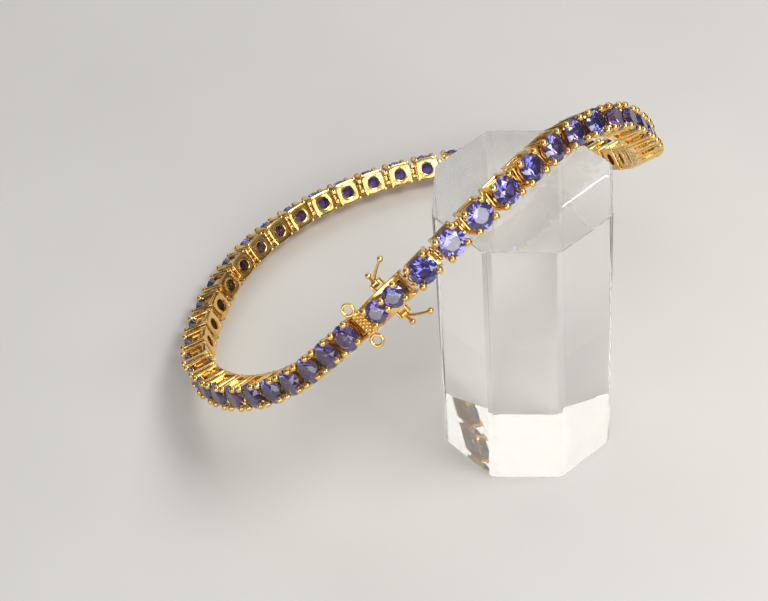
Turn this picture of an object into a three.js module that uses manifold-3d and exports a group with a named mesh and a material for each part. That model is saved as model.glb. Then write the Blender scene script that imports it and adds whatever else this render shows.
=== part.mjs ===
// Tennis bracelet of round stones in four-prong links, draped over an octagonal display block.
// Millimetres, +Z up, the floor at z = 0 and the block's axis on the origin before centring.
import * as THREE from 'three';
import { mergeVertices } from 'three/addons/utils/BufferGeometryUtils.js';
import Module from 'manifold-3d';

const wasm = await Module();
wasm.setup();

// Display block: a clear octagonal prism, measured across its flats.
const BLOCK_WIDTH = 18;
const BLOCK_HEIGHT = 34.5;
const BLOCK_TURN_DEG = -7;

// Band: equal links, laid with their hinges on the route.
const LINK_COUNT = 49;
const LINK_PITCH = 3.5;
const BASE_WIDTH = 2.9;
const BASE_LENGTH = 2.88;
const BASE_HEIGHT = 1.1;
const BASE_HOLE_RADIUS = 0.68;
const HINGE_HEIGHT = 0.5;
const PIN_RADIUS = 0.14;
const PIN_SIDES = 4;
const ARM_THICKNESS = 0.36;
const ARM_HALF_HEIGHT = 0.34;
const ARM_PAST_PIN = 0.2;
const SLOT_WIDTH = 0.84;
const NOTCH_DEPTH = 0.26;
const TONGUE_THICKNESS = 0.56;
const EYE_RADIUS = 0.42;
const EYE_HOLE_RADIUS = 0.25;

// Setting: four prongs that stand on the base and hold the stone by its girdle.
const PRONG_RADIUS = 0.27;
const PRONG_OFFSET = 1.17;
const PRONG_TOP = 3.2;
const PRONG_SIDES = 4;

// Stone: a round cut with a table, an upper and a lower ring of facets and a pointed back.
const STONE_RADIUS = 1.5;
const STONE_TABLE_SHARE = 0.58;
const STONE_GIRDLE = 2.55;
const STONE_CROWN = 0.45;
const STONE_PAVILION = 1.25;
const STONE_SIDES = 8;

// Clasp: a box with two stones, and a tongue that is pushed into it from the next link's side.
const CLASP_HINGE_TO_STONE = 1.74;
const CLASP_STONE_SPACING = 2.5;
const CLASP_STONE_TO_HINGE = 2.4;
const CLASP_STONE_RADIUS = 1.22;
const BOX_HEIGHT = 1.3;
const BOX_WALL = 0.34;
const BOX_END_REACH = 1.25;
const BLADE_WIDTH = 1.5;
const BLADE_LENGTH = 3;
const BLADE_THICKNESS = 0.4;
const THUMB_LENGTH = 1.15;
const THUMB_TOP = 2.55;
const CATCH_RING_ALONG = 0.85;
const CATCH_RING_DROP = 0.3;
const CATCH_RING_RADIUS = 0.62;
const CATCH_RING_WIRE = 0.19;

// Safety catches: a bent wire with two balls on a hinge at each side of the box.
const CATCH_PIVOT_OUT = 0.62;
const CATCH_BARREL_RADIUS = 0.42;
const CATCH_BARREL_HOLE = 0.26;
const CATCH_BARREL_LENGTH = 0.6;
const CATCH_WIRE_RADIUS = 0.17;
const CATCH_BALL_RADIUS = 0.34;
const LONG_LEG_ALONG = -2.6;
const LONG_LEG_OUT = 1.8;
const SHORT_LEG_ALONG = -0.3;
const SHORT_LEG_OUT = 1.3;
const CATCH_LIFT_DEG = 35;

// The band's width leans this far from the vertical, towards this compass angle from +X.
const BAND_LEAN_DEG = 40;
const BAND_LEAN_TOWARDS_DEG = 124;
const CLEARANCE = 0.06;

// Route of the hinges, from the clasp's tongue round the left turn and the back to the clasp's box.
// x and y are in mm. lift is the height above resting on the floor, as a share of the block's height.
const ROUTE = [
  { x: -17.0, y: -9.7, lift: 0.74 },
  { x: -24.1, y: -7.2, lift: 0.47 },
  { x: -30.8, y: -1.6, lift: 0.26 },
  { x: -35.1, y: 7.0, lift: 0.1 },
  { x: -34.7, y: 16.8, lift: 0.01 },
  { x: -30.9, y: 25.5, lift: 0 },
  { x: -23.3, y: 33.1, lift: 0 },
  { x: -13.0, y: 38.0, lift: 0 },
  { x: -1.9, y: 39.3, lift: 0.015 },
  { x: 7.6, y: 35.8, lift: 0.1 },
  { x: 13.2, y: 29.2, lift: 0.27 },
  { x: 14.8, y: 21.9, lift: 0.47 },
  { x: 13.3, y: 15.0, lift: 0.71 },
  { x: 9.4, y: 9.8, lift: 0.91 },
  { x: 4.1, y: 4.2, lift: 1 },
  { x: -1.3, y: -1.6, lift: 1.01 },
  { x: -6.5, y: -5.9, lift: 0.97 },
  { x: -11.6, y: -8.8, lift: 0.88 },
];
const FIRST_HINGE = -0.04;

const radians = THREE.MathUtils.degToRad;
const LINK_HALF = LINK_PITCH / 2;
const PIN_TO_BASE = LINK_HALF - BASE_LENGTH / 2;
const CLASP_LENGTH = CLASP_HINGE_TO_STONE + CLASP_STONE_SPACING + CLASP_STONE_TO_HINGE;
const BAND_HALF = Math.max(BASE_WIDTH / 2, PRONG_OFFSET + PRONG_RADIUS);
const SECTION_TOP = PRONG_TOP - HINGE_HEIGHT;
const LEAN = new THREE.Vector3(
  Math.sin(radians(BAND_LEAN_DEG)) * Math.cos(radians(BAND_LEAN_TOWARDS_DEG)),
  Math.sin(radians(BAND_LEAN_DEG)) * Math.sin(radians(BAND_LEAN_TOWARDS_DEG)),
  Math.cos(radians(BAND_LEAN_DEG)),
);

const gold = new THREE.MeshStandardMaterial({ color: 0xd9a441, metalness: 1, roughness: 0.25 });
const acrylic = new THREE.MeshStandardMaterial({
  color: 0xf2f6f7,
  roughness: 0.05,
  transparent: true,
  opacity: 0.35,
});

// Solids.

function solid(geometry) {
  const bare = geometry.clone();
  bare.deleteAttribute('normal');
  bare.deleteAttribute('uv');
  const merged = mergeVertices(bare, 1e-5);
  return new wasm.Manifold(new wasm.Mesh({
    numProp: 3,
    vertProperties: new Float32Array(merged.attributes.position.array),
    triVerts: new Uint32Array(merged.index.array),
  }));
}

function geometryOf(body) {
  const mesh = body.getMesh();
  const geometry = new THREE.BufferGeometry();
  geometry.setAttribute('position', new THREE.BufferAttribute(new Float32Array(mesh.vertProperties), 3));
  geometry.setIndex(new THREE.BufferAttribute(new Uint32Array(mesh.triVerts), 1));
  return geometry;
}

function placed(body, matrix) {
  return solid(geometryOf(body).applyMatrix4(matrix));
}

function fuse(bodies) {
  return bodies.reduce((whole, body) => whole.add(body));
}

// A closed body through rings of equal point count, with a fan or a point at each end.
function loft(rings) {
  const positions = [];
  const starts = rings.map((ring) => {
    const start = positions.length / 3;
    ring.forEach((point) => positions.push(point.x, point.y, point.z));
    return start;
  });
  const index = [];
  for (let k = 0; k + 1 < rings.length; k += 1) {
    const lower = rings[k].length;
    const upper = rings[k + 1].length;
    const sides = Math.max(lower, upper);
    for (let j = 0; j < sides; j += 1) {
      const a = starts[k] + (j % lower);
      const b = starts[k] + ((j + 1) % lower);
      const c = starts[k + 1] + (j % upper);
      const d = starts[k + 1] + ((j + 1) % upper);
      if (lower > 1) index.push(a, b, d);
      if (upper > 1) index.push(a, d, c);
      if (upper === 1) index.splice(index.length - 3, 3, a, b, c);
    }
  }
  const last = rings.length - 1;
  for (let j = 1; j + 1 < rings[0].length; j += 1) {
    index.push(starts[0], starts[0] + j + 1, starts[0] + j);
  }
  for (let j = 1; j + 1 < rings[last].length; j += 1) {
    index.push(starts[last], starts[last] + j, starts[last] + j + 1);
  }
  const geometry = new THREE.BufferGeometry();
  geometry.setAttribute('position', new THREE.Float32BufferAttribute(positions, 3));
  geometry.setIndex(index);
  return solid(geometry);
}

function ringAt(x, y, z, radius, sides, turn = 0) {
  return Array.from({ length: sides }, (_, k) => {
    const angle = turn + (2 * Math.PI * k) / sides;
    return new THREE.Vector3(x + radius * Math.cos(angle), y + radius * Math.sin(angle), z);
  });
}

// An upright extrusion of a flat outline, with holes as lists of points.
function plate(outline, holes, low, high) {
  const shape = new THREE.Shape(outline.map(([x, y]) => new THREE.Vector2(x, y)));
  holes.forEach((hole) => {
    shape.holes.push(new THREE.Path(hole.map(([x, y]) => new THREE.Vector2(x, y))));
  });
  const geometry = new THREE.ExtrudeGeometry(shape, { depth: high - low, bevelEnabled: false });
  return solid(geometry.translate(0, 0, low));
}

function circle(x, y, radius, sides, turn = 0) {
  return ringAt(x, y, 0, radius, sides, turn).map((point) => [point.x, point.y]);
}

function box(x0, x1, y0, y1, z0, z1) {
  return plate([[x0, y0], [x1, y0], [x1, y1], [x0, y1]], [], z0, z1);
}

// A straight wire between two points, with its ends closed.
function wire(from, to, radius, sides) {
  const along = to.clone().sub(from);
  const turn = new THREE.Quaternion().setFromUnitVectors(
    new THREE.Vector3(0, 0, 1),
    along.clone().normalize(),
  );
  const ends = [from, to].map((end) => ringAt(0, 0, 0, radius, sides)
    .map((point) => point.applyQuaternion(turn).add(end)));
  return loft(ends);
}

function ball(centre, radius, sides) {
  const bands = [-0.5, -0.17, 0.17, 0.5].map((share) => share * Math.PI);
  const rings = bands.map((angle, k) => {
    const edge = k === 0 || k === bands.length - 1;
    const height = centre.z + radius * Math.sin(angle);
    if (edge) return [new THREE.Vector3(centre.x, centre.y, height)];
    return ringAt(centre.x, centre.y, height, radius * Math.cos(angle), sides);
  });
  return loft(rings);
}

// A ring of wire lying flat, with as many corners as segments.
function wireRing(x, y, z, radius, wireRadius, segments, sides) {
  const section = circle(radius, 0, wireRadius, sides).map(([r, h]) => new THREE.Vector2(r, h));
  section.push(section[0].clone());
  const geometry = new THREE.LatheGeometry(section, segments);
  return solid(geometry.rotateX(Math.PI / 2).translate(x, y, z));
}

// Hinges: at a base's start two arms that hold a pin, and at its end a tongue that the next pin goes through.

// A base from start to end, notched at its start where a whole eye has to turn.
function baseBody(start, end, holes, height, notched) {
  const half = BASE_WIDTH / 2;
  const slot = SLOT_WIDTH / 2;
  const notch = [[start, slot], [start + NOTCH_DEPTH, slot], [start + NOTCH_DEPTH, -slot], [start, -slot]];
  const outline = [
    [start, -half],
    [end, -half],
    [end, half],
    [start, half],
    ...(notched ? notch : []),
  ];
  return plate(outline, holes, 0, height);
}

function hingeArms(pinX) {
  const inner = SLOT_WIDTH / 2;
  const low = HINGE_HEIGHT - ARM_HALF_HEIGHT;
  const high = HINGE_HEIGHT + ARM_HALF_HEIGHT;
  const root = pinX + PIN_TO_BASE + 0.06;
  const reach = inner + ARM_THICKNESS / 2;
  return [
    box(pinX - ARM_PAST_PIN, root, inner, inner + ARM_THICKNESS, low, high),
    box(pinX - ARM_PAST_PIN, root, -inner - ARM_THICKNESS, -inner, low, high),
    wire(
      new THREE.Vector3(pinX, -reach, HINGE_HEIGHT),
      new THREE.Vector3(pinX, reach, HINGE_HEIGHT),
      PIN_RADIUS,
      PIN_SIDES,
    ),
  ];
}

// A tongue from root to the pin it turns on. Inside a fused row its eye is closed round the pin.
function hingeTongue(root, eyeX, open) {
  const half = TONGUE_THICKNESS / 2;
  if (!open) {
    const end = eyeX + ARM_PAST_PIN;
    return box(root, end, -half, half, HINGE_HEIGHT - ARM_HALF_HEIGHT, HINGE_HEIGHT + ARM_HALF_HEIGHT);
  }
  const corner = EYE_RADIUS * Math.tan(Math.PI / 8);
  const inside = Math.min(root, eyeX - EYE_RADIUS);
  const outline = [
    [inside, -EYE_RADIUS],
    [eyeX + corner, -EYE_RADIUS],
    [eyeX + EYE_RADIUS, -corner],
    [eyeX + EYE_RADIUS, corner],
    [eyeX + corner, EYE_RADIUS],
    [inside, EYE_RADIUS],
  ];
  const flat = plate(outline, [circle(eyeX, 0, EYE_HOLE_RADIUS, 6)], -half, half);
  const stand = new THREE.Matrix4().makeRotationX(Math.PI / 2);
  stand.premultiply(new THREE.Matrix4().makeTranslation(0, 0, HINGE_HEIGHT));
  return placed(flat, stand);
}

function prong(x, y) {
  const turn = Math.atan2(-y, -x);
  return loft([
    ringAt(x, y, BASE_HEIGHT / 2, PRONG_RADIUS, PRONG_SIDES, turn),
    ringAt(x, y, PRONG_TOP, PRONG_RADIUS, PRONG_SIDES, turn),
  ]);
}

function stone(x, radius) {
  const turn = Math.PI / STONE_SIDES + Math.PI / 8;
  return loft([
    [new THREE.Vector3(x, 0, STONE_GIRDLE - STONE_PAVILION * (radius / STONE_RADIUS))],
    ringAt(x, 0, STONE_GIRDLE, radius, STONE_SIDES, turn),
    ringAt(x, 0, STONE_GIRDLE + STONE_CROWN, radius * STONE_TABLE_SHARE, STONE_SIDES, turn),
  ]);
}

function link(openEye, notched) {
  const half = BASE_LENGTH / 2;
  const hole = circle(0, 0, BASE_HOLE_RADIUS, 8);
  const prongs = [];
  for (const sideX of [-1, 1]) {
    for (const sideY of [-1, 1]) {
      prongs.push(prong(sideX * PRONG_OFFSET, sideY * PRONG_OFFSET));
    }
  }
  return fuse([
    baseBody(-half, half, [hole], BASE_HEIGHT, notched),
    ...hingeArms(-LINK_HALF),
    hingeTongue(half - 0.06, LINK_HALF, openEye),
    ...prongs,
    stone(0, STONE_RADIUS),
  ]);
}

// Clasp, drawn along x with its pin at the start and its tongue's eye at the end.

const CLASP_START = -CLASP_LENGTH / 2;
const CLASP_END = CLASP_LENGTH / 2;
const REAR_STONE = CLASP_START + CLASP_HINGE_TO_STONE;
const FRONT_STONE = REAR_STONE + CLASP_STONE_SPACING;
const BOX_END = FRONT_STONE + BOX_END_REACH;
const CATCH_X = (REAR_STONE + FRONT_STONE) / 2;
const PIVOT_Y = BASE_WIDTH / 2 + CATCH_PIVOT_OUT;
const PIVOT_Z = BOX_HEIGHT / 2;

function claspBox() {
  const pinX = CLASP_START;
  const outer = baseBody(pinX + PIN_TO_BASE, BOX_END, [], BOX_HEIGHT, true);
  const hollow = box(
    BOX_END - BLADE_LENGTH - 0.4,
    BOX_END + 1,
    -BASE_WIDTH / 2 + BOX_WALL,
    BASE_WIDTH / 2 - BOX_WALL,
    BOX_WALL * 0.8,
    BOX_HEIGHT - BOX_WALL,
  );
  const outerReach = (CLASP_STONE_RADIUS + PRONG_RADIUS - 0.1) * Math.SQRT1_2;
  const prongSpots = [
    [REAR_STONE - outerReach, outerReach, REAR_STONE],
    [CATCH_X, CLASP_STONE_RADIUS * 0.5, CATCH_X],
    [FRONT_STONE + outerReach, outerReach, FRONT_STONE],
  ];
  const prongs = prongSpots.flatMap(([x, out, stoneX]) => [-1, 1].map((side) => {
    const turn = Math.atan2(-side * out, stoneX - x);
    return loft([
      ringAt(x, side * out, BOX_HEIGHT - BOX_WALL / 2, PRONG_RADIUS, PRONG_SIDES, turn),
      ringAt(x, side * out, PRONG_TOP, PRONG_RADIUS, PRONG_SIDES, turn),
    ]);
  }));
  const hangers = [-1, 1].flatMap((side) => {
    const inner = side * (BASE_WIDTH / 2 - 0.1);
    const outerY = side * (PIVOT_Y + PIN_RADIUS + 0.12);
    const low = Math.min(inner, outerY);
    const high = Math.max(inner, outerY);
    const lugs = [-1, 1].map((end) => {
      const middle = CATCH_X + end * (CATCH_BARREL_LENGTH / 2 + 0.12 + 0.15);
      return box(middle - 0.15, middle + 0.15, low, high, PIVOT_Z - 0.3, PIVOT_Z + 0.3);
    });
    const reach = CATCH_BARREL_LENGTH / 2 + 0.3;
    const pin = wire(
      new THREE.Vector3(CATCH_X - reach, side * PIVOT_Y, PIVOT_Z),
      new THREE.Vector3(CATCH_X + reach, side * PIVOT_Y, PIVOT_Z),
      PIN_RADIUS * 0.9,
      6,
    );
    return [...lugs, pin];
  });
  return fuse([
    outer.subtract(hollow),
    ...hingeArms(pinX),
    ...prongs,
    ...hangers,
    stone(REAR_STONE, CLASP_STONE_RADIUS),
    stone(FRONT_STONE, CLASP_STONE_RADIUS),
  ]);
}

function claspTongue() {
  const face = BOX_END + 0.12;
  const middle = (BOX_WALL * 0.8 + BOX_HEIGHT - BOX_WALL) / 2;
  const blade = box(
    BOX_END - BLADE_LENGTH,
    face + 0.1,
    -BLADE_WIDTH / 2,
    BLADE_WIDTH / 2,
    middle - BLADE_THICKNESS / 2,
    middle + BLADE_THICKNESS / 2,
  );
  const block = box(face, face + 0.34, -BASE_WIDTH / 2, BASE_WIDTH / 2, 0, THUMB_TOP);
  const thumb = box(face, face + THUMB_LENGTH, -BASE_WIDTH / 2, BASE_WIDTH / 2, THUMB_TOP - 0.5, THUMB_TOP);
  const rings = [-1, 1].map((side) => wireRing(
    face + CATCH_RING_ALONG,
    side * (BASE_WIDTH / 2 + CATCH_RING_RADIUS),
    THUMB_TOP - CATCH_RING_DROP,
    CATCH_RING_RADIUS,
    CATCH_RING_WIRE,
    8,
    5,
  ));
  return fuse([blade, block, thumb, hingeTongue(face + 0.2, CLASP_END, true), ...rings]);
}

// side is 1 for the catch on the band's lower edge and -1 for the one on its upper edge.
function safetyCatch(side) {
  const half = CATCH_BARREL_LENGTH / 2;
  const flat = plate(
    circle(0, 0, CATCH_BARREL_RADIUS, 8, Math.PI / 8),
    [circle(0, 0, CATCH_BARREL_HOLE, 6)],
    -half,
    half,
  );
  const lay = new THREE.Matrix4().makeRotationY(Math.PI / 2);
  lay.premultiply(new THREE.Matrix4().makeTranslation(CATCH_X, side * PIVOT_Y, PIVOT_Z));
  const lift = radians(CATCH_LIFT_DEG);
  const spot = (along, out) => new THREE.Vector3(
    CATCH_X + along,
    side * (PIVOT_Y + out * Math.cos(lift)),
    PIVOT_Z + out * Math.sin(lift),
  );
  const root = spot(0, CATCH_BARREL_RADIUS - 0.08);
  const legs = [[LONG_LEG_ALONG, LONG_LEG_OUT], [SHORT_LEG_ALONG, SHORT_LEG_OUT]].flatMap(([along, out]) => {
    const end = spot(along, out);
    return [wire(root, end, CATCH_WIRE_RADIUS, 6), ball(end, CATCH_BALL_RADIUS, 10)];
  });
  return fuse([placed(flat, lay), ...legs]);
}

// Route: the hinges are laid along a closed curve, each a chord further than the last.

function bandFrame(along) {
  const upper = LEAN.clone().addScaledVector(along, -LEAN.dot(along)).normalize();
  const outward = upper.clone().cross(along);
  return { upper, outward };
}

function restHeight(along) {
  const { upper, outward } = bandFrame(along);
  return BAND_HALF * Math.abs(upper.z) + Math.max(-SECTION_TOP * outward.z, HINGE_HEIGHT * outward.z);
}

function routeCurve(spread, liftScale) {
  const count = ROUTE.length;
  const points = ROUTE.map((row, k) => {
    const before = ROUTE[(k + count - 1) % count];
    const after = ROUTE[(k + 1) % count];
    const along = new THREE.Vector3(
      after.x - before.x,
      after.y - before.y,
      (after.lift - before.lift) * BLOCK_HEIGHT,
    ).normalize();
    return new THREE.Vector3(row.x * spread, row.y * spread, restHeight(along) + row.lift * liftScale);
  });
  return new THREE.CatmullRomCurve3(points, true, 'catmullrom', 0.5);
}

const CHORDS = [...Array(LINK_COUNT).fill(LINK_PITCH), CLASP_LENGTH];

function layHinges(curve) {
  const count = ROUTE.length;
  const at = (u) => curve.getPoint((((u % count) + count) % count) / count);
  const hinges = [at(FIRST_HINGE)];
  let u = FIRST_HINGE;
  for (const chord of CHORDS) {
    const from = hinges[hinges.length - 1];
    let low = u;
    while (at(low + 0.05).distanceTo(from) < chord) low += 0.05;
    let high = low + 0.05;
    for (let step = 0; step < 26; step += 1) {
      const middle = (low + high) / 2;
      if (at(middle).distanceTo(from) < chord) low = middle;
      else high = middle;
    }
    u = (low + high) / 2;
    hinges.push(at(u));
  }
  return { hinges: hinges.slice(0, -1), turned: u - FIRST_HINGE };
}

// Sideways scale at which the closed band has exactly the length of its links.
function fitBand(liftScale) {
  let low = 0.5;
  let high = 2;
  let laid = null;
  for (let step = 0; step < 30; step += 1) {
    const spread = (low + high) / 2;
    laid = layHinges(routeCurve(spread, liftScale));
    if (laid.turned < ROUTE.length) high = spread;
    else low = spread;
  }
  return laid.hinges;
}

function placements(hinges) {
  return hinges.map((start, k) => {
    const end = hinges[(k + 1) % hinges.length];
    const along = end.clone().sub(start).normalize();
    const { outward } = bandFrame(along);
    const across = outward.clone().cross(along);
    const origin = start.clone().add(end).multiplyScalar(0.5);
    const matrix = new THREE.Matrix4().makeBasis(along, across, outward);
    return matrix.setPosition(origin.addScaledVector(outward, -HINGE_HEIGHT));
  });
}

function blockDirections() {
  return Array.from({ length: 8 }, (_, k) => {
    const angle = radians(BLOCK_TURN_DEG + 45 * k);
    return new THREE.Vector2(Math.cos(angle), Math.sin(angle));
  });
}

// Smallest distance of the links' corners to the block, negative where one is inside it.
function blockClearance(matrices) {
  const directions = blockDirections();
  let least = Infinity;
  matrices.forEach((matrix, k) => {
    const half = k === LINK_COUNT ? CLASP_LENGTH / 2 : LINK_HALF;
    for (const x of [-1, -0.5, 0, 0.5, 1]) {
      for (const y of [-BAND_HALF, BAND_HALF]) {
        for (const z of [0, PRONG_TOP]) {
          const corner = new THREE.Vector3(x * half, y, z).applyMatrix4(matrix);
          const sideways = Math.max(...directions.map((way) => corner.x * way.x + corner.y * way.y));
          least = Math.min(least, Math.max(corner.z - BLOCK_HEIGHT, sideways - BLOCK_WIDTH / 2));
        }
      }
    }
  });
  return least;
}

// The raised part is lowered until a link just clears the block.
function settleBand() {
  let low = BLOCK_HEIGHT * 0.9;
  let high = BLOCK_HEIGHT * 1.3;
  for (let step = 0; step < 12; step += 1) {
    const middle = (low + high) / 2;
    if (blockClearance(placements(fitBand(middle))) > CLEARANCE) high = middle;
    else low = middle;
  }
  return placements(fitBand(high));
}

function displayBlock() {
  const radius = BLOCK_WIDTH / 2 / Math.cos(Math.PI / 8);
  const turn = radians(BLOCK_TURN_DEG) + Math.PI / 8;
  return loft([ringAt(0, 0, 0, radius, 8, turn), ringAt(0, 0, BLOCK_HEIGHT, radius, 8, turn)]);
}

// Assembly.

const places = settleBand();
const firstHalf = Math.ceil(LINK_COUNT / 2);
const rowEnds = [firstHalf - 1, LINK_COUNT - 1];
const rowStarts = [0, firstHalf];
const plainLink = link(false, false);
const links = places.slice(0, LINK_COUNT).map((matrix, k) => {
  const atEnd = rowEnds.includes(k);
  const atStart = rowStarts.includes(k);
  return placed(atEnd || atStart ? link(atEnd, atStart) : plainLink, matrix);
});
const claspPlace = places[LINK_COUNT];

const lowest = Math.min(...links.map((body) => body.boundingBox().min[2]));
const floorShift = new THREE.Vector3(0, 0, 0);
if (lowest < 0) floorShift.z = -lowest;

const bodies = {
  display_block: [displayBlock(), acrylic],
  links_left: [fuse(links.slice(0, firstHalf)), gold],
  links_right: [fuse(links.slice(firstHalf)), gold],
  clasp_box: [placed(claspBox(), claspPlace), gold],
  clasp_tongue: [placed(claspTongue(), claspPlace), gold],
  safety_catch_lower: [placed(safetyCatch(1), claspPlace), gold],
  safety_catch_upper: [placed(safetyCatch(-1), claspPlace), gold],
};

const group = new THREE.Group();
group.name = 'tennis_bracelet_on_display_block';
const bounds = new THREE.Box3();
const meshes = Object.entries(bodies).map(([name, [body, material]]) => {
  const geometry = geometryOf(body);
  if (name !== 'display_block') geometry.translate(0, 0, floorShift.z);
  geometry.computeBoundingBox();
  bounds.union(geometry.boundingBox);
  const mesh = new THREE.Mesh(geometry, material);
  mesh.name = name;
  return mesh;
});
const centre = bounds.getCenter(new THREE.Vector3());
for (const mesh of meshes) {
  mesh.geometry.translate(-centre.x, -centre.y, -bounds.min.z);
  mesh.geometry = mesh.geometry.toNonIndexed();
  mesh.geometry.computeVertexNormals();
  group.add(mesh);
}

export default group;
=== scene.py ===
"""Looks of the tennis bracelet on its clear octagonal block, in metres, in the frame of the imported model."""
import math

import bpy
from mathutils import Matrix, Vector


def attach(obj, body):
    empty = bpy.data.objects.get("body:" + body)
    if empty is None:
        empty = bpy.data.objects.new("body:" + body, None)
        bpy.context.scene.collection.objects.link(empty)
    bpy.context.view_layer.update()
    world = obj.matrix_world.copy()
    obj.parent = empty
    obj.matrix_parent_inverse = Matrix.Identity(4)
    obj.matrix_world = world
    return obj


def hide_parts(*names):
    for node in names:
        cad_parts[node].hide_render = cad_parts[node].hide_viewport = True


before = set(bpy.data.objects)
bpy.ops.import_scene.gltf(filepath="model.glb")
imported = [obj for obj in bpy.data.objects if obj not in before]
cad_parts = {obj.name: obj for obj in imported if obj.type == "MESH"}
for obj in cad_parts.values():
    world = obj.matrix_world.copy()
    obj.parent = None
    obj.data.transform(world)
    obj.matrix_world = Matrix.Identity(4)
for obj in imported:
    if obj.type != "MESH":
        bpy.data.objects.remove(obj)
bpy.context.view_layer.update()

MM = 0.001

# Sizes in millimetres and angles in degrees, the same as in the part's own source.
BLOCK_WIDTH = 18
BLOCK_HEIGHT = 34.5
BLOCK_TURN_DEG = -7
LINK_COUNT = 49
LINK_PITCH = 3.5
BASE_WIDTH = 2.9
BASE_LENGTH = 2.88
BASE_HEIGHT = 1.1
BASE_HOLE_RADIUS = 0.68
HINGE_HEIGHT = 0.5
PIN_RADIUS = 0.14
ARM_THICKNESS = 0.36
ARM_HALF_HEIGHT = 0.34
SLOT_WIDTH = 0.84
NOTCH_DEPTH = 0.26
TONGUE_THICKNESS = 0.56
PRONG_RADIUS = 0.27
PRONG_OFFSET = 1.17
PRONG_TOP = 3.2
STONE_RADIUS = 1.5
STONE_GIRDLE = 2.55
STONE_CROWN = 0.45
STONE_PAVILION = 1.25
CLASP_HINGE_TO_STONE = 1.74
CLASP_STONE_SPACING = 2.5
CLASP_STONE_TO_HINGE = 2.4
CLASP_STONE_RADIUS = 1.22
BOX_HEIGHT = 1.3
BOX_END_REACH = 1.25
BOX_TO_THUMB = 0.12
THUMB_LENGTH = 1.15
THUMB_TOP = 2.55
THUMB_THICKNESS = 0.5
CATCH_RING_ALONG = 0.85
CATCH_RING_DROP = 0.3
CATCH_RING_RADIUS = 0.62
CATCH_RING_WIRE = 0.19
CATCH_PIVOT_OUT = 0.62
CATCH_BARREL_RADIUS = 0.42
CATCH_BARREL_HOLE = 0.26
CATCH_BARREL_LENGTH = 0.6
CATCH_WIRE_RADIUS = 0.17
CATCH_BALL_RADIUS = 0.34
LONG_LEG = (-2.6, 1.8)
SHORT_LEG = (-0.3, 1.3)
CATCH_LIFT_DEG = 35
BAND_LEAN_DEG = 40
BAND_LEAN_TOWARDS_DEG = 124

# Finer forms in millimetres, which the solids show plainer or not at all.
# INSIDE_SOLID is how far a form stays inside its solid, and LET_IN how deep one form goes into the next.
INSIDE_SOLID = 0.02
LET_IN = 0.08
FINE_EDGE = 0.05
SOFT_EDGE = 0.08
PLATE_RECESS = 0.09
PLATE_TOP = 0.46
BODY_RECESS = 0.36
BODY_STEP = 0.05
BODY_HOLE_STEP = 0.03
BODY_SUNK = 0.15
CLAW_OFFSET = 1.21
CLAW_FOOT = 0.1
CLAW_LEAN = 0.11
CLAW_BEAD_RADIUS = 0.41
CLAW_BEAD_HEIGHT = 2.83
WALL_RECESS = 0.24
WALL_SUNK = 0.1
WALL_THICKNESS = 0.2
WALL_RIM_RADIUS = 0.12
SIDE_WALL = {"top": 2.35, "sag": 0.6, "bulge": 0.08}
END_WALL = {"top": 2.3, "sag": 0.45, "bulge": 0.04}
RAIL_RADIUS = 0.13
RAIL_HEIGHT = 2.0
RAIL_SAG = 0.35
ARM_INSET = 0.06
EYE_RADIUS = 0.3
EYE_GAP = 0.03
PIN_PROUD = 0.03
STONE_TURN_DEG = 37

# Finer forms of the clasp and its catches in millimetres.
BOX_SKIN = 0.3
HINGE_BLOCK_LENGTH = 0.8
BLOCK_INSET = 0.05
CLASP_CLAW_OUT = 0.17
CLASP_CLAW_SUNK = 0.2
CLASP_RAIL_HEIGHT = 2.1
CLASP_RAIL_SAG = 0.4
CLASP_EYE_RADIUS = 0.36
LUG_HALF_THICKNESS = 0.14
LUG_HALF_HEIGHT = 0.27
LUG_PAST_BARREL = 0.27
LUG_PAST_PIVOT = 0.2
MOUNT_PIN_PAST_BARREL = 0.34
BLADE_REACH = 2.9
BLADE_HALF_WIDTH = 0.72
BLADE_HALF_HEIGHT = 0.18
BLADE_DROP = 0.05
BLADE_PAST_FACE = 0.1
BLADE_EDGE = 0.06
END_BLOCK_LENGTH = 0.33
END_BLOCK_DROP = 0.2
END_BLOCK_TO_TONGUE = 0.28
THUMB_INSET = 0.03
THUMB_EDGE = 0.1
GRAIN_RADIUS = 0.23
GRAIN_ROWS = 3
GRAIN_COLUMNS = 6
GRAIN_MARGIN = 0.36
GRAIN_STAGGER = 0.1
GRAIN_UNEVENNESS = 0.12
CATCH_WIRE_SUNK = 0.14
CATCH_WIRE_BOW = 0.1
CATCH_WIRE_TAPER = 0.2

# Sides of the round sections.
CLAW_SIDES = 10
RAIL_SIDES = 8
WIRE_SIDES = 12
BARREL_SIDES = 24

# Height, lean towards the stone and wire radius at each step of a claw above its foot.
CLAW_STEPS = (
    (1.3, 0.0, 0.22),
    (2.1, 0.0, 0.21),
    (2.5, 0.02, 0.25),
    (2.75, 0.08, 0.29),
)

# Rounded edges and wire ends, as shares of the edge, the outline or the wire's radius.
SOFT_SHARE = 0.3
CORNER_SOFTENING = 0.035
CAP_REACH = 0.75
CAP_WIDTH = 0.66

# The least corner radius of a rounded box in millimetres, and the angle from which an edge is sharp.
LEAST_CORNER = 0.02
SHARP_DEG = 38

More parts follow.
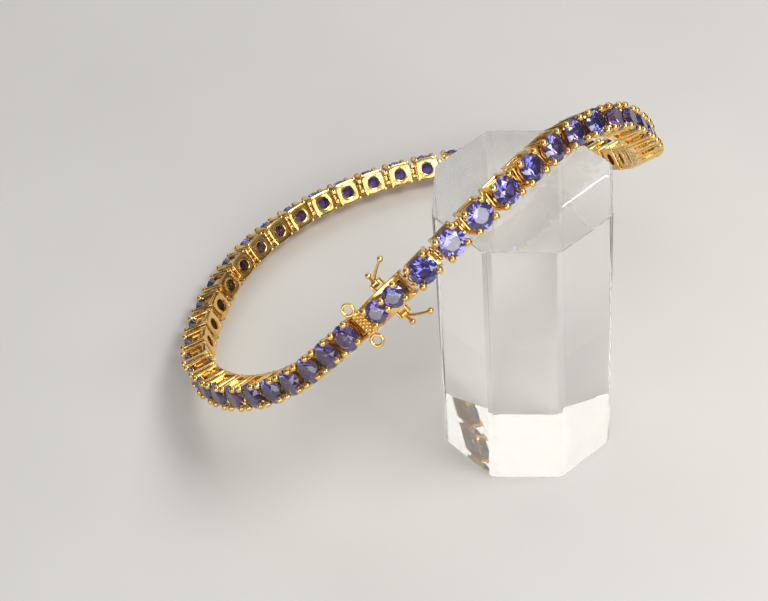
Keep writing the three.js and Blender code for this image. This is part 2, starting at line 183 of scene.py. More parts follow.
# Route of the hinges as in the part's source. x and y are in mm, and lift is a share of LIFT_SCALE.
ROUTE = [
    {"x": -17.0, "y": -9.7, "lift": 0.74},
    {"x": -24.1, "y": -7.2, "lift": 0.47},
    {"x": -30.8, "y": -1.6, "lift": 0.26},
    {"x": -35.1, "y": 7.0, "lift": 0.1},
    {"x": -34.7, "y": 16.8, "lift": 0.01},
    {"x": -30.9, "y": 25.5, "lift": 0},
    {"x": -23.3, "y": 33.1, "lift": 0},
    {"x": -13.0, "y": 38.0, "lift": 0},
    {"x": -1.9, "y": 39.3, "lift": 0.015},
    {"x": 7.6, "y": 35.8, "lift": 0.1},
    {"x": 13.2, "y": 29.2, "lift": 0.27},
    {"x": 14.8, "y": 21.9, "lift": 0.47},
    {"x": 13.3, "y": 15.0, "lift": 0.71},
    {"x": 9.4, "y": 9.8, "lift": 0.91},
    {"x": 4.1, "y": 4.2, "lift": 1},
    {"x": -1.3, "y": -1.6, "lift": 1.01},
    {"x": -6.5, "y": -5.9, "lift": 0.97},
    {"x": -11.6, "y": -8.8, "lift": 0.88},
]
FIRST_HINGE = -0.04
ROUTE_STEP = 0.05
HALVINGS = 26

# What the fit in the part's source arrives at: the route's two scales, and the block's axis in the frame.
SPREAD = 1.003291
LIFT_SCALE = 35.78364
BLOCK_AXIS = Vector((10.3563, -14.843, 0.0))

# Camera: the photo's angle, from a lens of 101 mm on a 36 mm sensor.
CAMERA_SENSOR = 36
CAMERA_LENS = 101.1
CAMERA_ELEVATION_DEG = 45.76
CAMERA_ROLL_DEG = -5.14
CAMERA_DISTANCE = 255.06
CAMERA_AIM = Vector((-4.512, 5.011, 0.0))
CAMERA_NEAREST = 10


# Route of the band.

LEAN = Vector((
    math.sin(math.radians(BAND_LEAN_DEG)) * math.cos(math.radians(BAND_LEAN_TOWARDS_DEG)),
    math.sin(math.radians(BAND_LEAN_DEG)) * math.sin(math.radians(BAND_LEAN_TOWARDS_DEG)),
    math.cos(math.radians(BAND_LEAN_DEG)),
))
BAND_HALF = max(BASE_WIDTH / 2, PRONG_OFFSET + PRONG_RADIUS)
SECTION_TOP = PRONG_TOP - HINGE_HEIGHT
CLASP_LENGTH = CLASP_HINGE_TO_STONE + CLASP_STONE_SPACING + CLASP_STONE_TO_HINGE


def band_frame(along):
    upper = (LEAN - along * LEAN.dot(along)).normalized()
    return upper, upper.cross(along)


def rest_height(along):
    upper, outward = band_frame(along)
    return BAND_HALF * abs(upper.z) + max(-SECTION_TOP * outward.z, HINGE_HEIGHT * outward.z)


def route_points():
    points = []
    count = len(ROUTE)
    for k, row in enumerate(ROUTE):
        before = ROUTE[k - 1]
        after = ROUTE[(k + 1) % count]
        along = Vector((
            after["x"] - before["x"],
            after["y"] - before["y"],
            (after["lift"] - before["lift"]) * BLOCK_HEIGHT,
        )).normalized()
        height = rest_height(along) + row["lift"] * LIFT_SCALE
        points.append(Vector((row["x"] * SPREAD, row["y"] * SPREAD, height)))
    return points


def curve_point(points, u):
    """A point of the closed Catmull-Rom curve through the points, u of them along."""
    count = len(points)
    k = math.floor(u)
    t = u - k
    a, b, c, d = (points[(k + j) % count] for j in (-1, 0, 1, 2))
    first = (c - a) * t
    second = (2 * a - 5 * b + 4 * c - d) * t * t
    third = (3 * b - a - 3 * c + d) * t ** 3
    return 0.5 * (2 * b + first + second + third)


def hinges():
    """The hinges' places, each a link's length further along the curve than the last."""
    points = route_points()
    u = FIRST_HINGE
    laid = [curve_point(points, u)]
    for _ in range(LINK_COUNT):
        start = laid[-1]
        low = u
        while (curve_point(points, low + ROUTE_STEP) - start).length < LINK_PITCH:
            low += ROUTE_STEP
        high = low + ROUTE_STEP
        for _ in range(HALVINGS):
            middle = (low + high) / 2
            if (curve_point(points, middle) - start).length < LINK_PITCH:
                low = middle
            else:
                high = middle
        u = (low + high) / 2
        laid.append(curve_point(points, u))
    return laid


def placements():
    """A matrix for each link and, last, for the clasp, from their own millimetres to the frame's."""
    laid = hinges()
    matrices = []
    for k, start in enumerate(laid):
        end = laid[(k + 1) % len(laid)]
        along = (end - start).normalized()
        outward = band_frame(along)[1]
        across = outward.cross(along)
        origin = (start + end) / 2 - outward * HINGE_HEIGHT + BLOCK_AXIS
        matrix = Matrix((along, across, outward)).transposed().to_4x4()
        matrix.translation = origin
        matrices.append(matrix)
    return matrices


# Mesh building.

class Shape:
    """Points and faces in millimetres. Each face carries whether it is shaded smooth."""

    def __init__(self):
        self.points = []
        self.faces = []
        self.smooth = []

    def face(self, indices, smooth=False):
        self.faces.append(tuple(indices))
        self.smooth.append(smooth)

    def rings(self, rings, smooth=True, closed=False):
        """Skin through rings of equal point count. A ring of one point closes to a tip."""
        starts = []
        for ring in rings:
            starts.append(len(self.points))
            self.points.extend(Vector(point) for point in ring)
        pairs = list(zip(range(len(rings) - 1), range(1, len(rings))))
        if closed:
            pairs.append((len(rings) - 1, 0))
        for low, high in pairs:
            lower, upper = len(rings[low]), len(rings[high])
            for j in range(max(lower, upper)):
                a = starts[low] + j % lower
                b = starts[low] + (j + 1) % lower
                c = starts[high] + (j + 1) % upper
                d = starts[high] + j % upper
                if lower == 1:
                    self.face((a, c, d), smooth)
                elif upper == 1:
                    self.face((a, b, c), smooth)
                else:
                    self.face((a, b, c, d), smooth)
        if not closed:
            if len(rings[0]) > 1:
                self.face([starts[0] + j for j in reversed(range(len(rings[0])))])
            if len(rings[-1]) > 1:
                self.face([starts[-1] + j for j in range(len(rings[-1]))])
        return self

    def add(self, other, matrix=None):
        start = len(self.points)
        moved = other.points if matrix is None else [matrix @ point for point in other.points]
        self.points.extend(moved)
        self.faces.extend(tuple(start + j for j in face) for face in other.faces)
        self.smooth.extend(other.smooth)
        return self


def make_object(name, shape, material):
    mesh = bpy.data.meshes.new(name)
    mesh.from_pydata([point * MM for point in shape.points], [], shape.faces)
    mesh.polygons.foreach_set("use_smooth", shape.smooth)
    mesh.update()
    if any(shape.smooth):
        mesh.set_sharp_from_angle(angle=math.radians(SHARP_DEG))
    mesh.materials.append(material)
    obj = bpy.data.objects.new(name, mesh)
    bpy.context.scene.collection.objects.link(obj)
    return obj


def circle(radius, sides, turn=0.0):
    ring = []
    for k in range(sides):
        angle = turn + 2 * math.pi * k / sides
        ring.append((radius * math.cos(angle), radius * math.sin(angle)))
    return ring


def rounded_box(x0, x1, y0, y1, z0, z1, edge=0.07):
    """A box whose edges are rounded over by a small bevel, drawn as stacked rounded outlines."""
    middle_x, middle_y = (x0 + x1) / 2, (y0 + y1) / 2

    def outline(inset, height):
        half_x, half_y = (x1 - x0) / 2 - inset, (y1 - y0) / 2 - inset
        corner = max(edge - inset, LEAST_CORNER)
        ring = []
        for sign_x, sign_y, turn in ((1, 1, 0), (-1, 1, 90), (-1, -1, 180), (1, -1, 270)):
            for step in (0, 45, 90):
                angle = math.radians(turn + step)
                ring.append((
                    middle_x + sign_x * (half_x - corner) + corner * math.cos(angle),
                    middle_y + sign_y * (half_y - corner) + corner * math.sin(angle),
                    height,
                ))
        return ring

    soft = edge * SOFT_SHARE
    return Shape().rings([
        outline(edge, z0),
        outline(soft, z0 + soft),
        outline(0, z0 + edge),
        outline(0, z1 - edge),
        outline(soft, z1 - soft),
        outline(edge, z1),
    ])


def pierced_box(half_x, half_y, hole, z0, z1, edge=0.09, sides=32):
    """A block with a round hole through it and rounded rims."""

    def outline(inset, height):
        ring = []
        for x, y in circle(1, sides, math.pi / sides):
            reach = 1 / max(abs(x) / (half_x - inset), abs(y) / (half_y - inset))
            soften = 1 - CORNER_SOFTENING * abs(math.sin(2 * math.atan2(y, x))) ** 8
            ring.append((x * reach * soften, y * reach * soften, height))
        return ring

    def rim(radius, height):
        return [(x, y, height) for x, y in circle(radius, sides, math.pi / sides)]

    soft = edge * SOFT_SHARE
    loops = [
        rim(hole, z1 - edge),
        rim(hole, z0 + edge),
        rim(hole + soft, z0 + soft),
        rim(hole + edge, z0),
        outline(edge, z0),
        outline(soft, z0 + soft),
        outline(0, z0 + edge),
        outline(0, z1 - edge),
        outline(soft, z1 - soft),
        outline(edge, z1),
        rim(hole + edge, z1),
        rim(hole + soft, z1 - soft),
    ]
    return Shape().rings(loops, closed=True)


def swept(path, radii, sides, round_ends=True):
    """A wire of round section along a path of points, with a radius for each point or one for all."""
    points = [Vector(point) for point in path]
    if not isinstance(radii, list):
        radii = [radii] * len(points)
    rings = []
    side = None
    for k, point in enumerate(points):
        along = (points[min(k + 1, len(points) - 1)] - points[max(k - 1, 0)]).normalized()
        if side is None:
            side = along.orthogonal().normalized()
        side = (side - along * side.dot(along)).normalized()
        other = along.cross(side)
        rings.append([point + side * (radii[k] * x) + other * (radii[k] * y) for x, y in circle(1, sides)])

    def end_rings(tip, inner, radius, ring):
        way = (tip - inner).normalized()
        narrow = [tip + way * radius * CAP_REACH + (corner - tip) * CAP_WIDTH for corner in ring]
        return [tip + way * radius], narrow

    if round_ends:
        first_tip, first_ring = end_rings(points[0], points[1], radii[0], rings[0])
        last_tip, last_ring = end_rings(points[-1], points[-2], radii[-1], rings[-1])
        rings = [first_tip, first_ring] + rings + [last_ring, last_tip]
    return Shape().rings(rings)


def ball(centre, radius, sides=14, bands=8):
    rings = []
    for k in range(bands):
        angle = -math.pi / 2 + math.pi * k / (bands - 1)
        height = centre[2] + radius * math.sin(angle)
        if k in (0, bands - 1):
            rings.append([(centre[0], centre[1], height)])
        else:
            flat = circle(radius * math.cos(angle), sides)
            rings.append([(centre[0] + x, centre[1] + y, height) for x, y in flat])
    return Shape().rings(rings)


def wire_ring(centre, radius, wire_radius, segments=28, sides=10):
    rings = []
    for x, y in circle(1, segments):
        rings.append([
            (
                centre[0] + x * (radius + across),
                centre[1] + y * (radius + across),
                centre[2] + height,
            )
            for across, height in circle(wire_radius, sides)
        ])
    return Shape().rings(rings, closed=True)


def barrel_loops(loop, low, high, hole, radius):
    """Eight loops of a barrel with rounded rims, through its hole from low to high and back outside."""
    return [
        loop(hole, low + FINE_EDGE),
        loop(hole, high - FINE_EDGE),
        loop(hole + FINE_EDGE, high),
        loop(radius - FINE_EDGE, high),
        loop(radius, high - FINE_EDGE),
        loop(radius, low + FINE_EDGE),
        loop(radius - FINE_EDGE, low),
        loop(hole + FINE_EDGE, low),
    ]


def eye(x, y0, y1, z, radius, hole, sides=20):
    """A round eye across the band, open along y."""

    def loop(reach, y):
        return [(x + a, y, z + b) for a, b in circle(reach, sides)]

    return Shape().rings(barrel_loops(loop, min(y0, y1), max(y0, y1), hole, radius), closed=True)


# The link's gold: a pierced plate and body, its hinge, four claws, and walls and rails between them.

def claw(x, y, foot):
    """A wire from its foot up to a round bead that leans in over the stone's edge."""
    reach = math.hypot(x, y)
    in_x, in_y = -x / reach, -y / reach
    steps = [(foot, 0.0, CLAW_STEPS[0][2]), *CLAW_STEPS]
    path = [(x + in_x * lean, y + in_y * lean, height) for height, lean, _ in steps]
    bead = (x + in_x * CLAW_LEAN, y + in_y * CLAW_LEAN, CLAW_BEAD_HEIGHT)
    wire = swept(path, [radius for _, _, radius in steps], CLAW_SIDES)
    return wire.add(ball(bead, CLAW_BEAD_RADIUS))


def bowed_rail(start, end, sag, steps=8):
    """A thin rail from one claw to the next that sags towards the base."""
    a, b = Vector(start), Vector(end)
    path = []
    for k in range(steps + 1):
        t = k / steps
        point = a.lerp(b, t)
        point.z -= sag * math.sin(math.pi * t)
        path.append(point)
    return swept(path, RAIL_RADIUS, RAIL_SIDES, round_ends=False)


def gallery_wall(side, top, sag, bulge, steps=10):
    """A thin bowed wall between two claws, its upper edge a shallow bowl with a rounded rim."""
    foot = BASE_HEIGHT - WALL_SUNK
    walls, rim = [], []
    for k in range(steps + 1):
        share = 2 * k / steps - 1
        hollow = 1 - share * share
        x = share * CLAW_OFFSET
        out = CLAW_OFFSET - WALL_RECESS + bulge * hollow
        height = top - sag * hollow
        walls.append([
            (x, side * (out - WALL_THICKNESS), foot),
            (x, side * out, foot),
            (x, side * out, height),
            (x, side * (out - WALL_THICKNESS), height),
        ])
        rim.append((x, side * (out - WALL_THICKNESS / 2), height))
    return Shape().rings(walls).add(swept(rim, WALL_RIM_RADIUS, RAIL_SIDES, round_ends=False))


def hinge_arms(pin_x, base_x):
    """Two arms with eyes, from a base to the pin that they hold."""
    parts = Shape()
    inner = SLOT_WIDTH / 2
    bottom = HINGE_HEIGHT - ARM_HALF_HEIGHT + ARM_INSET
    top = HINGE_HEIGHT + ARM_HALF_HEIGHT - ARM_INSET
    arm_start = pin_x - 0.02
    tight_hole = PIN_RADIUS * 0.9
    for side in (-1, 1):
        low, high = sorted((side * inner, side * (inner + ARM_THICKNESS)))
        parts.add(rounded_box(arm_start, base_x + LET_IN, low, high, bottom, top, FINE_EDGE))
        parts.add(eye(pin_x, low, high, HINGE_HEIGHT, EYE_RADIUS, tight_hole))
    reach = inner + ARM_THICKNESS + PIN_PROUD
    pin = [(pin_x, -reach, HINGE_HEIGHT), (pin_x, reach, HINGE_HEIGHT)]
    parts.add(swept(pin, PIN_RADIUS, WIRE_SIDES))
    return parts


def hinge_tongue(root_x, eye_x, radius=EYE_RADIUS):
    """A tongue from its root to the loose eye that the next pin goes through."""
    half = TONGUE_THICKNESS / 2
    half_height = radius * 0.8
    loose_hole = PIN_RADIUS + EYE_GAP
    parts = rounded_box(
        root_x - LET_IN,
        eye_x - PIN_RADIUS - EYE_GAP,
        -half,
        half,
        HINGE_HEIGHT - half_height,
        HINGE_HEIGHT + half_height,
        FINE_EDGE,
    )
    return parts.add(eye(eye_x, -half, half, HINGE_HEIGHT, radius, loose_hole))


def link_gold():
    """A link's plate and body, its hinge parts, four claws, four gallery walls and two rails."""
    half = LINK_PITCH / 2
    base_half = BASE_LENGTH / 2
    half_width = BASE_WIDTH / 2
    spot = CLAW_OFFSET
    parts = pierced_box(base_half, half_width - PLATE_RECESS, BASE_HOLE_RADIUS, 0, PLATE_TOP)
    parts.add(pierced_box(
        base_half - BODY_STEP,
        half_width - BODY_RECESS,
        BASE_HOLE_RADIUS + BODY_HOLE_STEP,
        PLATE_TOP - BODY_SUNK,
        BASE_HEIGHT,
    ))
    parts.add(hinge_arms(-half, -base_half))
    parts.add(hinge_tongue(base_half, half))
    for side_x in (-1, 1):
        for side_y in (-1, 1):
            parts.add(claw(side_x * spot, side_y * spot, CLAW_FOOT))
    quarter = Matrix.Rotation(math.pi / 2, 4, "Z")
    for side in (-1, 1):
        parts.add(gallery_wall(side, **SIDE_WALL))
        parts.add(gallery_wall(side, **END_WALL), quarter)
        parts.add(bowed_rail((side * spot, -spot, RAIL_HEIGHT), (side * spot, spot, RAIL_HEIGHT), RAIL_SAG))
    return parts


def cut_stone(radius):
    """A round brilliant: table, stars, kites and halves above, mains and halves below."""
    shape = Shape()
    table_share, star_share, under_share = 0.56, 0.78, 0.24
    star_rise, under_rise = 0.62, 0.235
    half_step_deg = 22.5
    girdle_low, girdle_high = STONE_GIRDLE - 0.03, STONE_GIRDLE + 0.04
    culet = STONE_GIRDLE - STONE_PAVILION * (radius / STONE_RADIUS)

    def ring(share, sides, height, turn_deg=0.0):
        start = len(shape.points)
        for x, y in circle(radius * share, sides, math.radians(turn_deg)):
            shape.points.append(Vector((x, y, height)))
        return [start + k for k in range(sides)]

    table = ring(table_share, 8, STONE_GIRDLE + STONE_CROWN)
    star = ring(star_share, 8, STONE_GIRDLE + STONE_CROWN * star_rise, half_step_deg)
    upper = ring(1.0, 16, girdle_high)
    lower = ring(1.0, 16, girdle_low)
    under = ring(under_share, 8, culet + (STONE_GIRDLE - culet) * under_rise, half_step_deg)
    tip = len(shape.points)
    shape.points.append(Vector((0, 0, culet)))
    shape.face(table)
    for k in range(8):
        after, before = (k + 1) % 8, (k - 1) % 8
        shape.face((table[k], star[k], table[after]))
        shape.face((table[k], star[before], upper[2 * k], star[k]))
        shape.face((star[k], upper[2 * k], upper[2 * k + 1]))
        shape.face((star[k], upper[2 * k + 1], upper[(2 * k + 2) % 16]))
        shape.face((tip, under[k], lower[2 * k], under[before]))
        shape.face((under[k], lower[2 * k + 1], lower[2 * k]))
        shape.face((under[k], lower[(2 * k + 2) % 16], lower[2 * k + 1]))
    for k in range(16):
        after = (k + 1) % 16
        shape.face((upper[k], lower[k], lower[after], upper[after]))
    return shape


# The clasp, along x with its pin at the start and its tongue's eye at the end.

CLASP_START = -CLASP_LENGTH / 2
CLASP_END = CLASP_LENGTH / 2
REAR_STONE = CLASP_START + CLASP_HINGE_TO_STONE
FRONT_STONE = REAR_STONE + CLASP_STONE_SPACING
BOX_START = CLASP_START + LINK_PITCH / 2 - BASE_LENGTH / 2
BOX_END = FRONT_STONE + BOX_END_REACH
CATCH_X = (REAR_STONE + FRONT_STONE) / 2
PIVOT_Y = BASE_WIDTH / 2 + CATCH_PIVOT_OUT
PIVOT_Z = BOX_HEIGHT / 2


def clasp_shell():
    """The box: a floor, a roof, two sides and the block at its hinge, with its hinge's arms."""
    half = BASE_WIDTH / 2
    start = BOX_START + NOTCH_DEPTH
    block_end = BOX_START + HINGE_BLOCK_LENGTH
    block_half = half - BLOCK_INSET
    low_side, high_side = INSIDE_SOLID, BOX_HEIGHT - INSIDE_SOLID
    parts = Shape()
    parts.add(rounded_box(start, BOX_END, -half, half, 0, BOX_SKIN))
    parts.add(rounded_box(start, BOX_END, -half, half, BOX_HEIGHT - BOX_SKIN, BOX_HEIGHT))
    for side in (-1, 1):
        low, high = sorted((side * half, side * (half - BOX_SKIN)))
        parts.add(rounded_box(BOX_START, BOX_END, low, high, low_side, high_side))
    parts.add(rounded_box(start, block_end, -block_half, block_half, low_side, high_side))
    return parts.add(hinge_arms(CLASP_START, BOX_START))


def catch_mount(side):
    """Two lugs at a side of the box and the pin that a safety catch turns on."""
    lug_out = CATCH_BARREL_LENGTH / 2 + LUG_PAST_BARREL
    reach = CATCH_BARREL_LENGTH / 2 + MOUNT_PIN_PAST_BARREL
    low, high = sorted((side * (BASE_WIDTH / 2 - LET_IN), side * (PIVOT_Y + LUG_PAST_PIVOT)))
    parts = Shape()
    for end in (-1, 1):
        middle = CATCH_X + end * lug_out
        parts.add(rounded_box(
            middle - LUG_HALF_THICKNESS,
            middle + LUG_HALF_THICKNESS,
            low,
            high,
            PIVOT_Z - LUG_HALF_HEIGHT,
            PIVOT_Z + LUG_HALF_HEIGHT,
            SOFT_EDGE,
        ))
    pin = [(CATCH_X - reach, side * PIVOT_Y, PIVOT_Z), (CATCH_X + reach, side * PIVOT_Y, PIVOT_Z)]
    pin_radius = PIN_RADIUS * 0.85
    return parts.add(swept(pin, pin_radius, WIRE_SIDES))


def clasp_box_gold():
    """The box with three claws and two rails at each side of its stones, and the mounts of both catches."""
    parts = clasp_shell()
    outer = (CLASP_STONE_RADIUS + CLASP_CLAW_OUT) * math.sqrt(0.5)
    inner = CLASP_STONE_RADIUS * 0.5
    claw_foot = BOX_HEIGHT - CLASP_CLAW_SUNK
    for side in (-1, 1):
        spots = (
            (REAR_STONE - outer, outer, REAR_STONE),
            (CATCH_X, inner, CATCH_X),
            (FRONT_STONE + outer, outer, FRONT_STONE),
        )
        for x, out, centre in spots:
            parts.add(claw(x - centre, side * out, claw_foot), Matrix.Translation((centre, 0, 0)))
        rear, middle, front = ((x, side * out, CLASP_RAIL_HEIGHT) for x, out, _ in spots)
        parts.add(bowed_rail(rear, middle, CLASP_RAIL_SAG))
        parts.add(bowed_rail(middle, front, CLASP_RAIL_SAG))
        parts.add(catch_mount(side))
    return parts


def clasp_stones():
    """The two stones on the clasp's box."""
    parts = Shape()
    for x in (REAR_STONE, FRONT_STONE):
        parts.add(cut_stone(CLASP_STONE_RADIUS), Matrix.Translation((x, 0, 0)))
    return parts


def thumb_grains(face, top):
    """Rows of grains on the thumb piece, staggered and a little uneven in size."""
    length = THUMB_LENGTH - 2 * GRAIN_RADIUS
    width = BASE_WIDTH - 2 * GRAIN_MARGIN
    parts = Shape()
    for row in range(GRAIN_ROWS):
        stagger = GRAIN_STAGGER if row % 2 else -GRAIN_STAGGER
        for column in range(GRAIN_COLUMNS):
            x = face + GRAIN_RADIUS + row * length / (GRAIN_ROWS - 1)
            y = GRAIN_MARGIN - BASE_WIDTH / 2 + column * width / (GRAIN_COLUMNS - 1) + stagger
            uneven = GRAIN_UNEVENNESS * abs(math.sin(7.3 * row + 3.1 * column))
            parts.add(ball((x, y, top), GRAIN_RADIUS * (1 - uneven)))
    return parts


def clasp_tongue_gold():
    """The blade, the end block, the thumb piece with its grains, the eye and a ring at each side."""
    half = BASE_WIDTH / 2
    face = BOX_END + BOX_TO_THUMB
    blade_middle = BOX_HEIGHT / 2 - BLADE_DROP
    parts = rounded_box(
        BOX_END - BLADE_REACH,
        face + BLADE_PAST_FACE,
        -BLADE_HALF_WIDTH,
        BLADE_HALF_WIDTH,
        blade_middle - BLADE_HALF_HEIGHT,
        blade_middle + BLADE_HALF_HEIGHT,
        BLADE_EDGE,
    )
    block_end = face + END_BLOCK_LENGTH
    block_half = half - BLOCK_INSET
    block_top = THUMB_TOP - END_BLOCK_DROP
    parts.add(rounded_box(face, block_end, -block_half, block_half, INSIDE_SOLID, block_top, SOFT_EDGE))
    thumb_end = face + THUMB_LENGTH
    thumb_half = half - THUMB_INSET
    low = THUMB_TOP - THUMB_THICKNESS
    top = THUMB_TOP - GRAIN_RADIUS - INSIDE_SOLID
    parts.add(rounded_box(face, thumb_end, -thumb_half, thumb_half, low, top, THUMB_EDGE))
    parts.add(thumb_grains(face, top))
    parts.add(hinge_tongue(face + END_BLOCK_TO_TONGUE, CLASP_END, CLASP_EYE_RADIUS))
    ring_radius = CATCH_RING_RADIUS - INSIDE_SOLID
    ring_wire = CATCH_RING_WIRE - INSIDE_SOLID / 2
    for side in (-1, 1):
        centre = (face + CATCH_RING_ALONG, side * (half + CATCH_RING_RADIUS), THUMB_TOP - CATCH_RING_DROP)
        parts.add(wire_ring(centre, ring_radius, ring_wire))
    return parts


def catch_gold(side):
    """A barrel on the box's pin and two wires with balls, the longer one slanting along the band."""
    half = CATCH_BARREL_LENGTH / 2
    outer, hole = CATCH_BARREL_RADIUS - INSIDE_SOLID, CATCH_BARREL_HOLE - 2 * INSIDE_SOLID
    lift = math.radians(CATCH_LIFT_DEG)
    bow = Vector((0, side * CATCH_WIRE_BOW, 0))
    steps = 6

    def loop(radius, x):
        return [(x, side * PIVOT_Y + a, PIVOT_Z + b) for a, b in circle(radius, BARREL_SIDES)]

    def spot(along, out):
        across = side * (PIVOT_Y + out * math.cos(lift))
        return Vector((CATCH_X + along, across, PIVOT_Z + out * math.sin(lift)))

    # Along x the loops are taken the other way round, so that the faces still point out.
    loops = barrel_loops(loop, CATCH_X - half, CATCH_X + half, hole, outer)
    parts = Shape().rings(loops[::-1], closed=True)
    root = spot(0, CATCH_BARREL_RADIUS - CATCH_WIRE_SUNK)
    radii = [CATCH_WIRE_RADIUS * (1 - CATCH_WIRE_TAPER * k / steps) for k in range(steps + 1)]
    for along, out in (LONG_LEG, SHORT_LEG):
        end = spot(along, out)
        path = [root.lerp(end, k / steps) + bow * math.sin(math.pi * k / steps) for k in range(steps + 1)]
        parts.add(swept(path, radii, WIRE_SIDES))
        parts.add(ball(end, CATCH_BALL_RADIUS - INSIDE_SOLID / 2, sides=18, bands=11))
    return parts


def block_shape():
    """The clear block: an octagonal prism with finely rounded edges, just inside its CAD solid."""
    turn = math.radians(BLOCK_TURN_DEG)
    edge = 0.1
    soft = edge * SOFT_SHARE
    upright_cut = 0.28
    foot = INSIDE_SOLID

    def outline(inset, height):
        apothem = BLOCK_WIDTH / 2 - inset
        side = 2 * apothem * math.tan(math.pi / 8)
        ring = []
        for k in range(8):
            angle = turn + k * math.pi / 4
            normal = Vector((math.cos(angle), math.sin(angle), 0))
            along = Vector((-math.sin(angle), math.cos(angle), 0))
            half = side / 2 - upright_cut
            for sign in (-1, 1):
                ring.append(normal * apothem + along * (sign * half) + Vector((0, 0, height)))
        return ring

    shape = Shape().rings([
        outline(edge, foot),
        outline(soft, foot + soft),
        outline(0, foot + edge),
        outline(0, BLOCK_HEIGHT - edge),
        outline(soft, BLOCK_HEIGHT - soft),
        outline(edge, BLOCK_HEIGHT),
    ], smooth=False)
    shape.points = [point + BLOCK_AXIS for point in shape.points]
    return shape


# Materials.

def ramp(nodes, links, source, stops):
    node = nodes.new("ShaderNodeValToRGB")
    elements = node.color_ramp.elements
    elements[0].position, elements[0].color = stops[0][0], stops[0][1]
    elements[1].position, elements[1].color = stops[-1][0], stops[-1][1]
    for position, color in stops[1:-1]:
        element = elements.new(position)
        element.color = color
    links.new(source, node.inputs["Fac"])
    return node


class Look:
    """A new material, its nodes and links, and its main shader."""

    def __init__(self, name):
        self.material = bpy.data.materials.new(name)
        self.material.use_nodes = True
        self.nodes = self.material.node_tree.nodes
        self.links = self.material.node_tree.links
        self.shader = self.nodes["Principled BSDF"]

    def noise(self, scale, detail=2.0, rough=0.5):
        coordinates = self.nodes.new("ShaderNodeTexCoord")
        texture = self.nodes.new("ShaderNodeTexNoise")
        texture.inputs["Scale"].default_value = scale
        texture.inputs["Detail"].default_value = detail
        texture.inputs["Roughness"].default_value = rough
        self.links.new(coordinates.outputs["Object"], texture.inputs["Vector"])
        return texture.outputs["Fac"]

    def tint(self, pattern, stops):
        colour = ramp(self.nodes, self.links, pattern, stops)
        self.links.new(colour.outputs["Color"], self.shader.inputs["Base Color"])

    def vary(self, socket, pattern, low, high, first=0.0, last=1.0):
        """Let a socket run from low to high as the pattern runs from first to last."""
        spread = self.nodes.new("ShaderNodeMapRange")
        spread.inputs["From Min"].default_value = first
        spread.inputs["From Max"].default_value = last
        spread.inputs["To Min"].default_value = low
        spread.inputs["To Max"].default_value = high
        self.links.new(pattern, spread.inputs["Value"])
        self.links.new(spread.outputs["Result"], self.shader.inputs[socket])

    def bump(self, pattern, strength, distance):
        relief = self.nodes.new("ShaderNodeBump")
        relief.inputs["Strength"].default_value = strength
        relief.inputs["Distance"].default_value = distance
        self.links.new(pattern, relief.inputs["Height"])
        self.links.new(relief.outputs["Normal"], self.shader.inputs["Normal"])


def gold_material():
    """Polished yellow gold: colour drifting a little, fine polishing marks in roughness and bump."""
    look = Look("polished_gold")
    look.tint(look.noise(350, 3), [
        (0.3, (0.70, 0.42, 0.12, 1)),
        (0.5, (0.93, 0.61, 0.20, 1)),
        (0.72, (1.0, 0.74, 0.32, 1)),
    ])
    marks = look.noise(2600, 6, 0.65)
    look.vary("Roughness", marks, 0.08, 0.24)
    look.bump(marks, 0.12, 0.00004)
    look.shader.inputs["Metallic"].default_value = 1.0
    return look.material


def stone_material():
    """Violet-blue crystal: clear and strongly bending, its tint drifting from blue to violet."""
    look = Look("violet_blue_stone")
    look.tint(look.noise(240, 2), [
        (0.32, (0.08, 0.12, 0.54, 1)),
        (0.5, (0.17, 0.145, 0.52, 1)),
        (0.66, (0.33, 0.22, 0.58, 1)),
    ])
    look.vary("Roughness", look.noise(1500, 3), 0.0, 0.05)
    look.shader.inputs["IOR"].default_value = 1.77
    look.shader.inputs["Transmission Weight"].default_value = 0.94
    look.shader.inputs["Coat Weight"].default_value = 0.4
    look.shader.inputs["Coat Roughness"].default_value = 0.02
    return look.material


def acrylic_material():
    """Clear acrylic with soft waves and handling marks in its polish. Lamps shine through it."""
    look = Look("clear_acrylic")
    waves = look.noise(60, 2)
    look.tint(waves, [
        (0.3, (0.97, 0.98, 0.98, 1)),
        (0.7, (1.0, 0.995, 0.985, 1)),
    ])
    look.vary("Roughness", look.noise(300, 2, 0.5), 0.0, 0.06, first=0.45, last=0.75)
    look.bump(waves, 0.05, 0.0001)
    look.vary("Transmission Weight", waves, 0.88, 0.97, first=0.3, last=0.7)
    look.shader.inputs["IOR"].default_value = 1.49
    path = look.nodes.new("ShaderNodeLightPath")
    open_to_lamps = look.nodes.new("ShaderNodeBsdfTransparent")
    open_to_lamps.inputs["Color"].default_value = (0.3, 0.3, 0.3, 1)
    mixed = look.nodes.new("ShaderNodeMixShader")
    look.links.new(path.outputs["Is Shadow Ray"], mixed.inputs["Fac"])
    look.links.new(look.shader.outputs["BSDF"], mixed.inputs[1])
    look.links.new(open_to_lamps.outputs["BSDF"], mixed.inputs[2])
    look.links.new(mixed.outputs["Shader"], look.nodes["Material Output"].inputs["Surface"])
    return look.material


def floor_material():
    look = Look("pale_floor")
    look.tint(look.noise(30, 3), [
        (0.3, (0.70, 0.69, 0.67, 1)),
        (0.7, (0.74, 0.73, 0.71, 1)),
    ])
    look.shader.inputs["Roughness"].default_value = 0.7
    return look.material


# Assembly.

gold = gold_material()
violet = stone_material()
acrylic = acrylic_material()

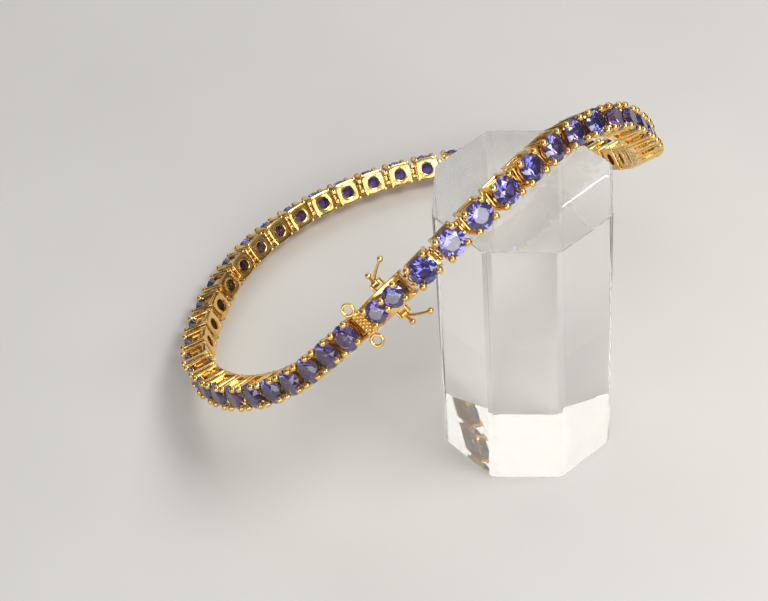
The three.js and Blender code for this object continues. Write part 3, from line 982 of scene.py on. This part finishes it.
places = placements()
one_link = link_gold()
one_stone = cut_stone(STONE_RADIUS)
first_half = math.ceil(LINK_COUNT / 2)
for name, chosen in (("links_left", places[:first_half]), ("links_right", places[first_half:LINK_COUNT])):
    settings = Shape()
    stones = Shape()
    for k, matrix in enumerate(chosen):
        settings.add(one_link, matrix)
        turn = Matrix.Rotation(math.radians(STONE_TURN_DEG * k), 4, "Z")
        stones.add(one_stone, matrix @ turn)
    metal = make_object(name + "_settings", settings, gold)
    gems = make_object(name + "_stones", stones, violet)
    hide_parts(name)
    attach(metal, "root")
    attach(gems, "root")

clasp_place = places[LINK_COUNT]
clasp_parts = (
    ("clasp_box_metal", clasp_box_gold(), "clasp_box", "root"),
    ("clasp_tongue_metal", clasp_tongue_gold(), "clasp_tongue", "root"),
    ("lower_catch_wire", catch_gold(1), "safety_catch_lower", "lower_catch"),
    ("upper_catch_wire", catch_gold(-1), "safety_catch_upper", "upper_catch"),
)
for name, shape, node, body in clasp_parts:
    piece = make_object(name, Shape().add(shape, clasp_place), gold)
    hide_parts(node)
    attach(piece, body)
gems = make_object("clasp_stones", Shape().add(clasp_stones(), clasp_place), violet)
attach(gems, "root")

block = make_object("display_block_clear", block_shape(), acrylic)
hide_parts("display_block")
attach(block, "root")


# Floor, light and camera.

FLOOR_HALF = 900
floor = Shape()
for sign_x, sign_y in ((-1, -1), (1, -1), (1, 1), (-1, 1)):
    floor.points.append(Vector((sign_x * FLOOR_HALF, sign_y * FLOOR_HALF, 0)))
floor.face((0, 1, 2, 3))
make_object("floor", floor, floor_material())


def area_light(name, spot, aim, size, power, colour):
    """A rectangular lamp. Its place, aim and size are in millimetres."""
    data = bpy.data.lights.new(name, "AREA")
    data.shape = "RECTANGLE"
    data.size, data.size_y = size[0] * MM, size[1] * MM
    data.energy = power
    data.color = colour
    light = bpy.data.objects.new(name, data)
    light.location = Vector(spot) * MM
    facing = (Vector(aim) - Vector(spot)).to_track_quat("-Z", "Y")
    light.rotation_euler = facing.to_euler()
    bpy.context.scene.collection.objects.link(light)


area_light("key", (140, -60, 260), (0, 0, 10), (120, 90), 0.40, (1.0, 0.98, 0.95))
area_light("fill", (-160, -300, 110), (0, 0, 15), (220, 140), 0.26, (1.0, 0.99, 0.97))
area_light("side", (141, -245, 170), (-10, 30, 20), (240, 110), 0.38, (1.0, 0.98, 0.94))
area_light("rim", (10, 250, 262), (0, 0, 10), (520, 290), 0.38, (1.0, 0.95, 0.84))

world = bpy.data.worlds.new("soft_studio")
world.use_nodes = True
world_nodes, world_links = world.node_tree.nodes, world.node_tree.links
height = world_nodes.new("ShaderNodeSeparateXYZ")
world_links.new(world_nodes.new("ShaderNodeTexCoord").outputs["Generated"], height.inputs["Vector"])
sky = ramp(world_nodes, world_links, height.outputs["Z"], [
    (0.0, (0.15, 0.15, 0.16, 1)),
    (0.45, (0.42, 0.43, 0.45, 1)),
    (0.8, (0.95, 0.96, 1.0, 1)),
])
world_links.new(sky.outputs["Color"], world_nodes["Background"].inputs["Color"])
world_nodes["Background"].inputs["Strength"].default_value = 0.36
bpy.context.scene.world = world
bpy.context.scene.view_settings.view_transform = "Standard"

elevation, roll = math.radians(CAMERA_ELEVATION_DEG), math.radians(CAMERA_ROLL_DEG)
forward = Vector((0, math.cos(elevation), -math.sin(elevation)))
level = Vector((1, 0, 0))
raised = level.cross(forward)
right = level * math.cos(roll) + raised * math.sin(roll)
up = raised * math.cos(roll) - level * math.sin(roll)
camera_data = bpy.data.cameras.new("photo_camera")
camera_data.sensor_width = CAMERA_SENSOR
camera_data.lens = CAMERA_LENS
camera_data.clip_start = CAMERA_NEAREST * MM
camera = bpy.data.objects.new("photo_camera", camera_data)
turned = Matrix((right, up, -forward)).transposed().to_4x4()
turned.translation = (CAMERA_AIM - forward * CAMERA_DISTANCE) * MM
camera.matrix_world = turned
bpy.context.scene.collection.objects.link(camera)
bpy.context.scene.camera = camera

bpy.context.view_layer.update()
